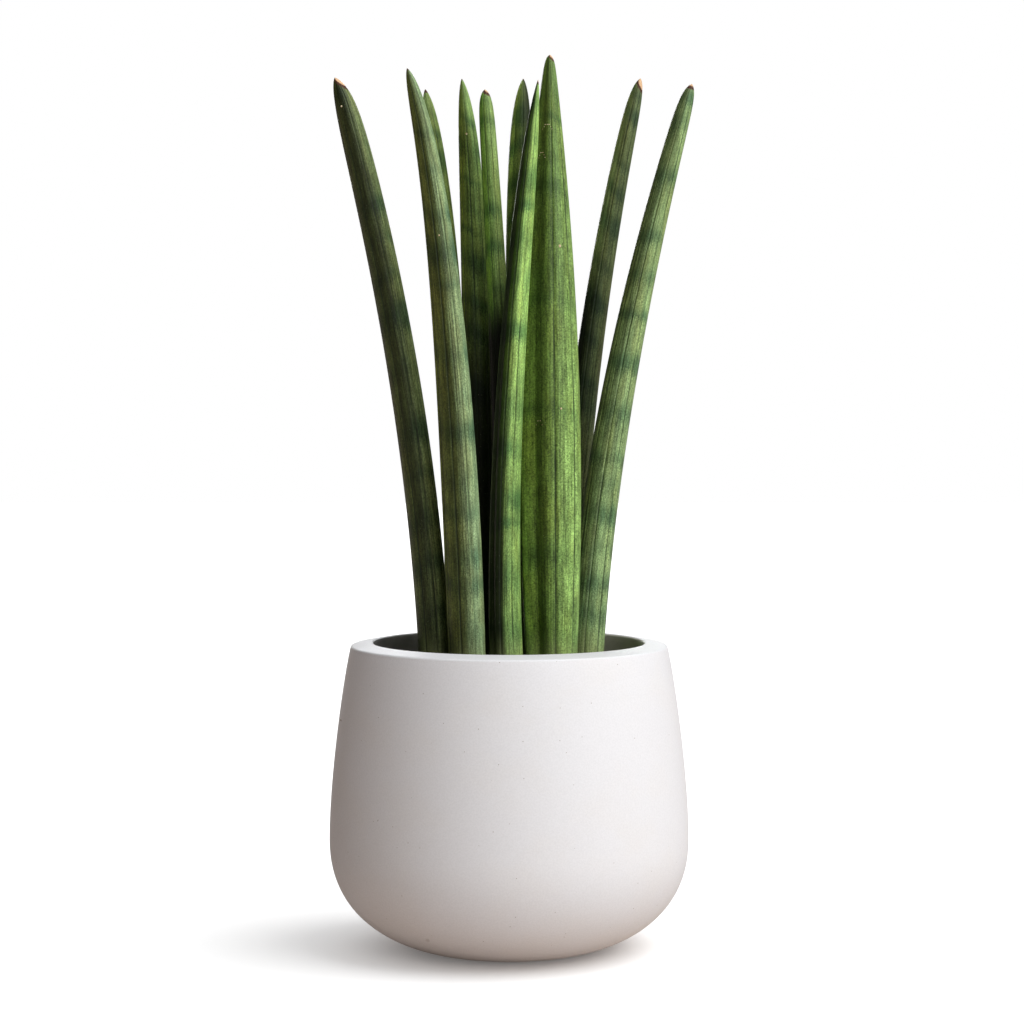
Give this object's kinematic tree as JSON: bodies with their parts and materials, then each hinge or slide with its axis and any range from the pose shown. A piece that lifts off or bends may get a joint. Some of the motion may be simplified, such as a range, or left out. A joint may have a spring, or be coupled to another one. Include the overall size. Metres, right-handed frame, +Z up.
{
  "type": "potted cylindrical snake plant",
  "caption": "Upright cylindrical snake plant: stiff, tapering, grooved spear-shaped leaves fanning out of potting mix in a rounded matte white ceramic pot with a flat rim.",
  "frame": {"origin": "centre of the pot's flat foot, on the surface the pot stands on", "axes": "+Z up along the pot's axis, towards the leaf tips; -Y towards the front, the side that the picture shows; +X to the right as seen from the front"},
  "size_m": [0.2029, 0.2, 0.4944],
  "materials": {
    "pot": "matte",
    "soil": "matte",
    "leaf": "satin"
  },
  "bodies": {
    "root": {"pot": "pot", "soil": "soil", "leaf_outer_left": "leaf", "leaf_front_left": "leaf", "leaf_back_left": "leaf", "leaf_inner_left": "leaf", "leaf_slim": "leaf", "leaf_back_middle": "leaf", "leaf_front_middle": "leaf", "leaf_tallest": "leaf", "leaf_back_right": "leaf", "leaf_outer_right": "leaf"}
  },
  "joints": []
}
